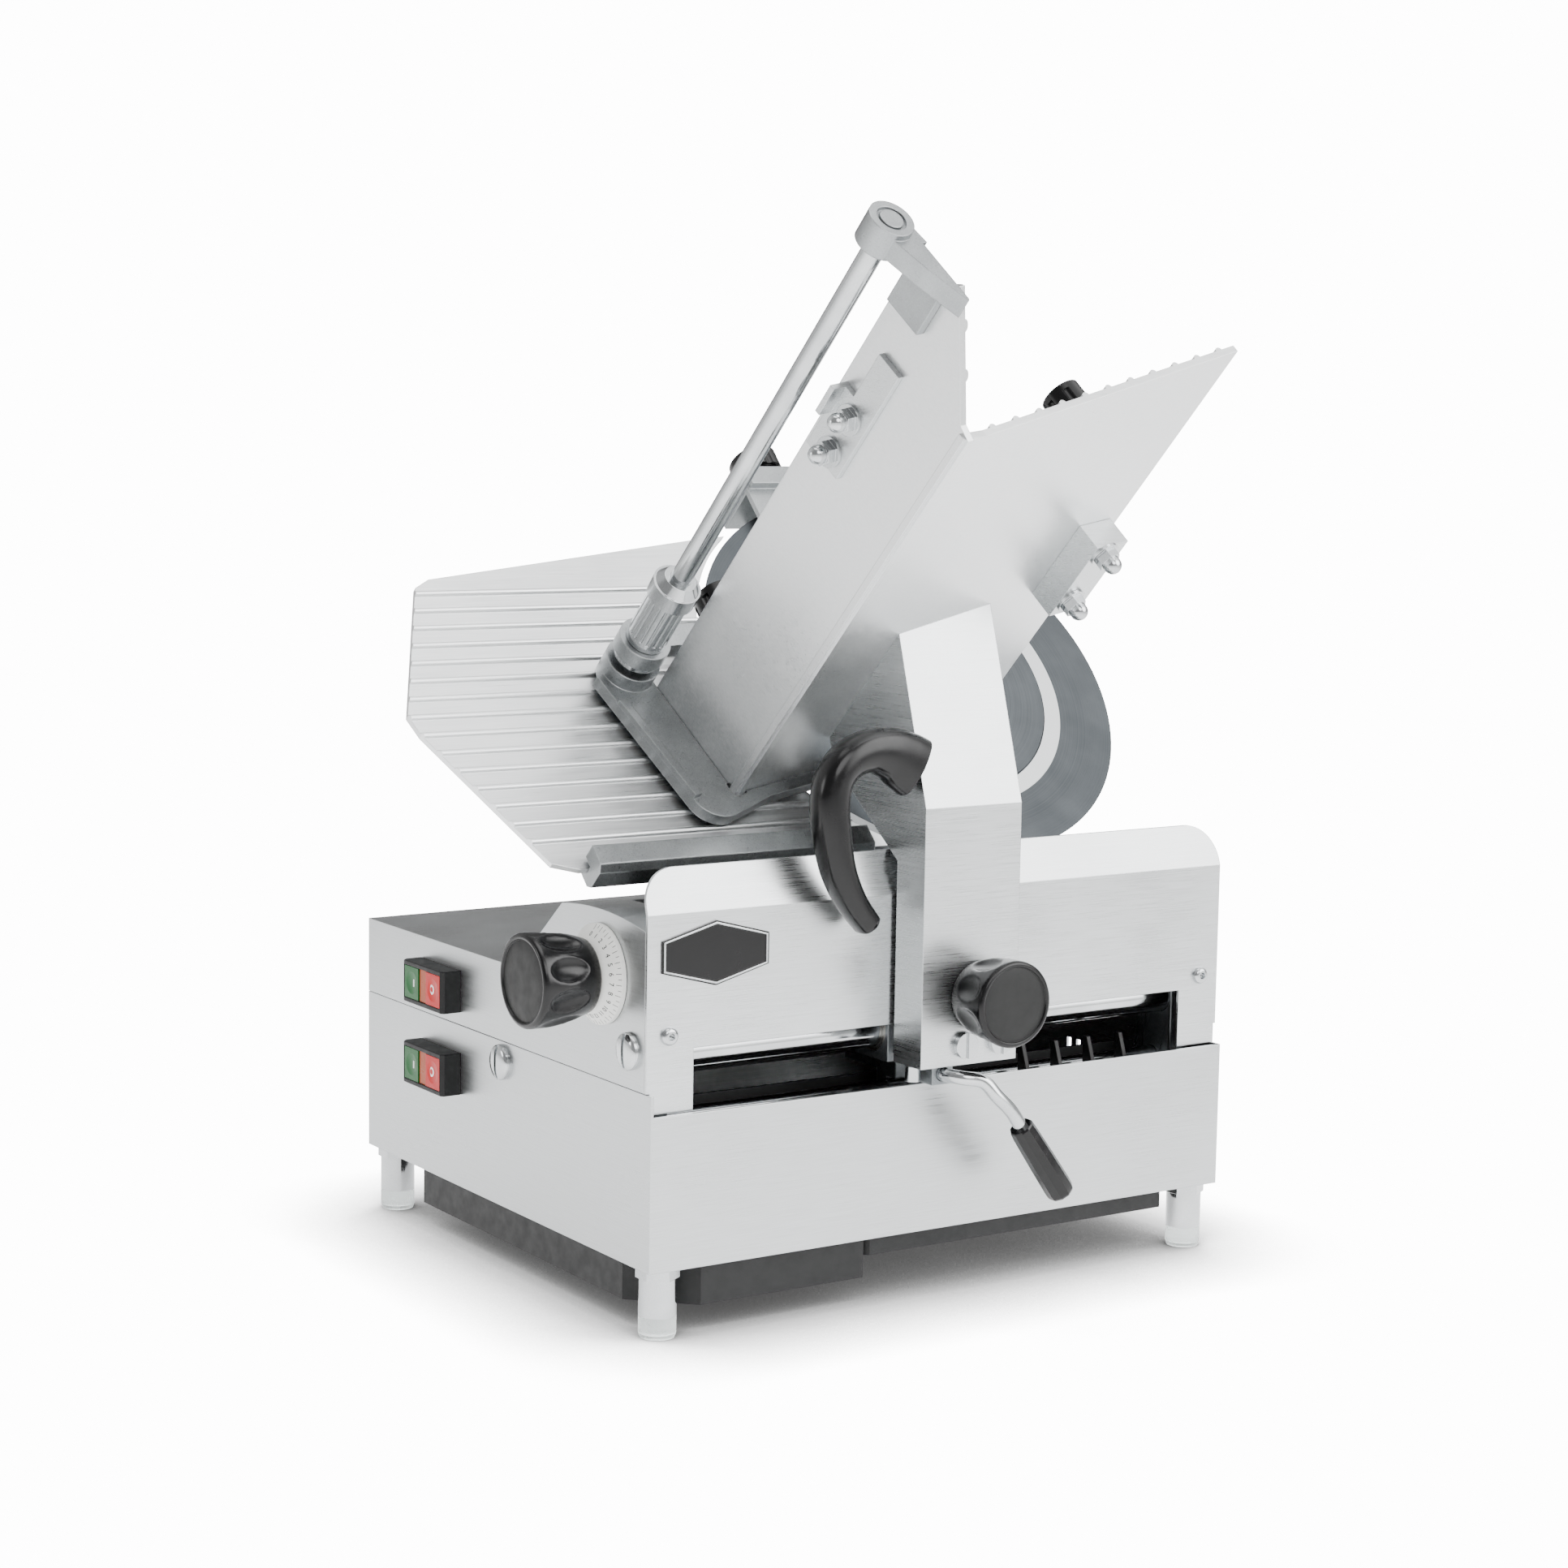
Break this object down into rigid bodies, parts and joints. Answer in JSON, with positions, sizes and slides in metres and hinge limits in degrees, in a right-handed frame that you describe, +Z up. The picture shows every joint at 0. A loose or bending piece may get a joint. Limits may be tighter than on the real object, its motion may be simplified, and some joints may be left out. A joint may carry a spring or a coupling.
{
  "type": "deli meat slicer",
  "caption": "Gravity-feed deli meat slicer with a tilted round knife, ribbed thickness gauge plate, V-shaped product tray on a powered carriage arm, and a steel base on feet.",
  "frame": {"origin": "under the near foot, the one on the carriage side at the switch end, on the plane that the feet rest on", "axes": "+X towards the carriage side, -Y towards the switches and thickness knob, +Y along the carriage stroke, +Z up"},
  "size_m": [0.5528, 0.561, 0.6972],
  "materials": {
    "brushed_steel": "brushed",
    "bright_aluminium": "brushed, anodised",
    "cast_aluminium": "fine cast, satin",
    "polished_steel": "polished",
    "knife_steel": "ground, hard chromed",
    "machined_steel": "turned",
    "black_plastic": "gloss moulded",
    "black_matte": "matte moulded",
    "clear_pad": "translucent",
    "green_plastic": "gloss",
    "red_plastic": "gloss",
    "orange_plastic": "satin",
    "white_dial": "satin, engraved",
    "bronze": "sintered",
    "belt_rubber": "matte",
    "painted_motor": "painted"
  },
  "bodies": {
    "base": {"base_wrap": "brushed_steel", "upper_housing": "brushed_steel", "slot_guard": "brushed_steel", "bottom_plate": "brushed_steel", "front_undertray": "black_matte", "side_undertray": "black_matte", "feet_posts": "polished_steel", "feet_pads": "clear_pad", "switch_housings": "black_matte", "switch_lamps": "orange_plastic", "casing_screws": "polished_steel", "cable_gland": "black_matte", "guide_rods": "polished_steel", "rod_supports": "cast_aluminium", "slot_liner": "black_matte", "knife_head": "cast_aluminium", "knife_bearings": "machined_steel", "blade_cover": "knife_steel", "knife_belt": "belt_rubber", "knife_motor": "painted_motor", "gearmotor": "painted_motor", "carriage_belt": "belt_rubber", "gauge_guide": "cast_aluminium", "sharpener": "cast_aluminium", "slice_deflector": "brushed_steel"},
    "start_button_upper": {"start_button_upper": "green_plastic"},
    "stop_button_upper": {"stop_button_upper": "red_plastic"},
    "start_button_lower": {"start_button_lower": "green_plastic"},
    "stop_button_lower": {"stop_button_lower": "red_plastic"},
    "knife": {"blade": "knife_steel", "blade_shaft": "machined_steel"},
    "motor_pulley": {"motor_pulley": "machined_steel"},
    "cover_knob": {"cover_knob": "black_plastic"},
    "gauge": {"gauge_plate": "bright_aluminium", "gauge_carrier": "cast_aluminium"},
    "thickness_control": {"thickness_knob": "black_plastic", "dial": "white_dial", "cam_shaft": "machined_steel"},
    "carriage": {"slide_block": "cast_aluminium", "slide_bushes": "bronze", "arm": "brushed_steel", "arm_foot": "cast_aluminium", "arm_screws": "polished_steel", "handle": "black_plastic", "tray": "bright_aluminium", "tray_flange": "cast_aluminium", "pusher_rod": "polished_steel", "rod_ear": "cast_aluminium", "tray_brackets": "brushed_steel", "tray_nuts": "polished_steel", "fence_knob": "black_plastic"},
    "drive_pulley": {"drive_pulley": "machined_steel"},
    "idler_pulley": {"idler_pulley": "machined_steel"},
    "clamp_knob": {"clamp_knob": "black_plastic"},
    "clutch_lever": {"lever": "polished_steel", "lever_grip": "black_plastic"},
    "pusher_sleeve": {"pusher_sleeve": "polished_steel"},
    "pusher": {"pusher": "cast_aluminium", "pusher_knob": "black_plastic"},
    "sharpener_knob": {"sharpener_knob": "black_plastic"}
  },
  "joints": [
    {"name": "start_press_upper", "type": "slide", "parent": "base", "child": "start_button_upper", "axis": [0, 1, 0], "range_m": [0, 0.003], "stiffness_N_per_m": 500, "springref_m": -0.001},
    {"name": "stop_press_upper", "type": "slide", "parent": "base", "child": "stop_button_upper", "axis": [0, 1, 0], "range_m": [0, 0.003], "stiffness_N_per_m": 500, "springref_m": -0.001},
    {"name": "start_press_lower", "type": "slide", "parent": "base", "child": "start_button_lower", "axis": [0, 1, 0], "range_m": [0, 0.003], "stiffness_N_per_m": 500, "springref_m": -0.001},
    {"name": "stop_press_lower", "type": "slide", "parent": "base", "child": "stop_button_lower", "axis": [0, 1, 0], "range_m": [0, 0.003], "stiffness_N_per_m": 500, "springref_m": -0.001},
    {"name": "knife_spin", "type": "hinge", "parent": "base", "child": "knife", "pos_m": [-0.16674, 0.3055, 0.39385], "axis": [0.7193, 0, 0.6947], "continuous": true},
    {"name": "motor_spin", "type": "hinge", "parent": "base", "child": "motor_pulley", "pos_m": [-0.06254, 0.3055, 0.28595], "axis": [0.7193, 0, 0.6947], "continuous": true},
    {"name": "cover_knob_turn", "type": "hinge", "parent": "base", "child": "cover_knob", "pos_m": [-0.16674, 0.3055, 0.39385], "axis": [0.7193, 0, 0.6947], "range_deg": [0, 360]},
    {"name": "gauge_slide", "type": "slide", "parent": "base", "child": "gauge", "axis": [-0.7193, 0, -0.6947], "range_m": [0, 0.015]},
    {"name": "thickness_turn", "type": "hinge", "parent": "base", "child": "thickness_control", "pos_m": [-0.0465, -0.0155, 0.224], "axis": [0, -1, 0], "range_deg": [0, 202.6]},
    {"name": "carriage_slide", "type": "slide", "parent": "base", "child": "carriage", "axis": [0, 1, 0], "range_m": [-0.14, 0.14]},
    {"name": "drive_pulley_turn", "type": "hinge", "parent": "base", "child": "drive_pulley", "pos_m": [-0.0735, 0.0245, 0.1695], "axis": [1, 0, 0], "range_deg": [-412, 412]},
    {"name": "idler_pulley_turn", "type": "hinge", "parent": "base", "child": "idler_pulley", "pos_m": [-0.0735, 0.4045, 0.1695], "axis": [1, 0, 0], "range_deg": [-412, 412]},
    {"name": "clamp_turn", "type": "hinge", "parent": "carriage", "child": "clamp_knob", "pos_m": [0.0425, 0.2125, 0.2045], "axis": [1, 0, 0], "range_deg": [0, 360]},
    {"name": "clutch_swing", "type": "hinge", "parent": "carriage", "child": "clutch_lever", "pos_m": [0.0335, 0.1895, 0.1541], "axis": [1, 0, 0], "range_deg": [-30, 40]},
    {"name": "pusher_slide", "type": "slide", "parent": "carriage", "child": "pusher_sleeve", "axis": [0.7193, 0, 0.6947], "range_m": [0, 0.26]},
    {"name": "pusher_swing", "type": "hinge", "parent": "pusher_sleeve", "child": "pusher", "pos_m": [-0.16758, 0.06776, 0.39472], "axis": [0.7193, 0, 0.6947], "range_deg": [0, 100]},
    {"name": "sharpener_turn", "type": "hinge", "parent": "base", "child": "sharpener_knob", "pos_m": [-0.30453, 0.2665, 0.52214], "axis": [-0.6947, 0, 0.7193], "range_deg": [0, 180]}
  ],
  "couplings": [
    {"joint": "motor_spin", "follows": "knife_spin", "ratio": 1.7},
    {"joint": "thickness_turn", "follows": "gauge_slide", "rad_per_m": 235.62},
    {"joint": "drive_pulley_turn", "follows": "carriage_slide", "rad_per_m": 51.151},
    {"joint": "idler_pulley_turn", "follows": "carriage_slide", "rad_per_m": 51.151}
  ]
}
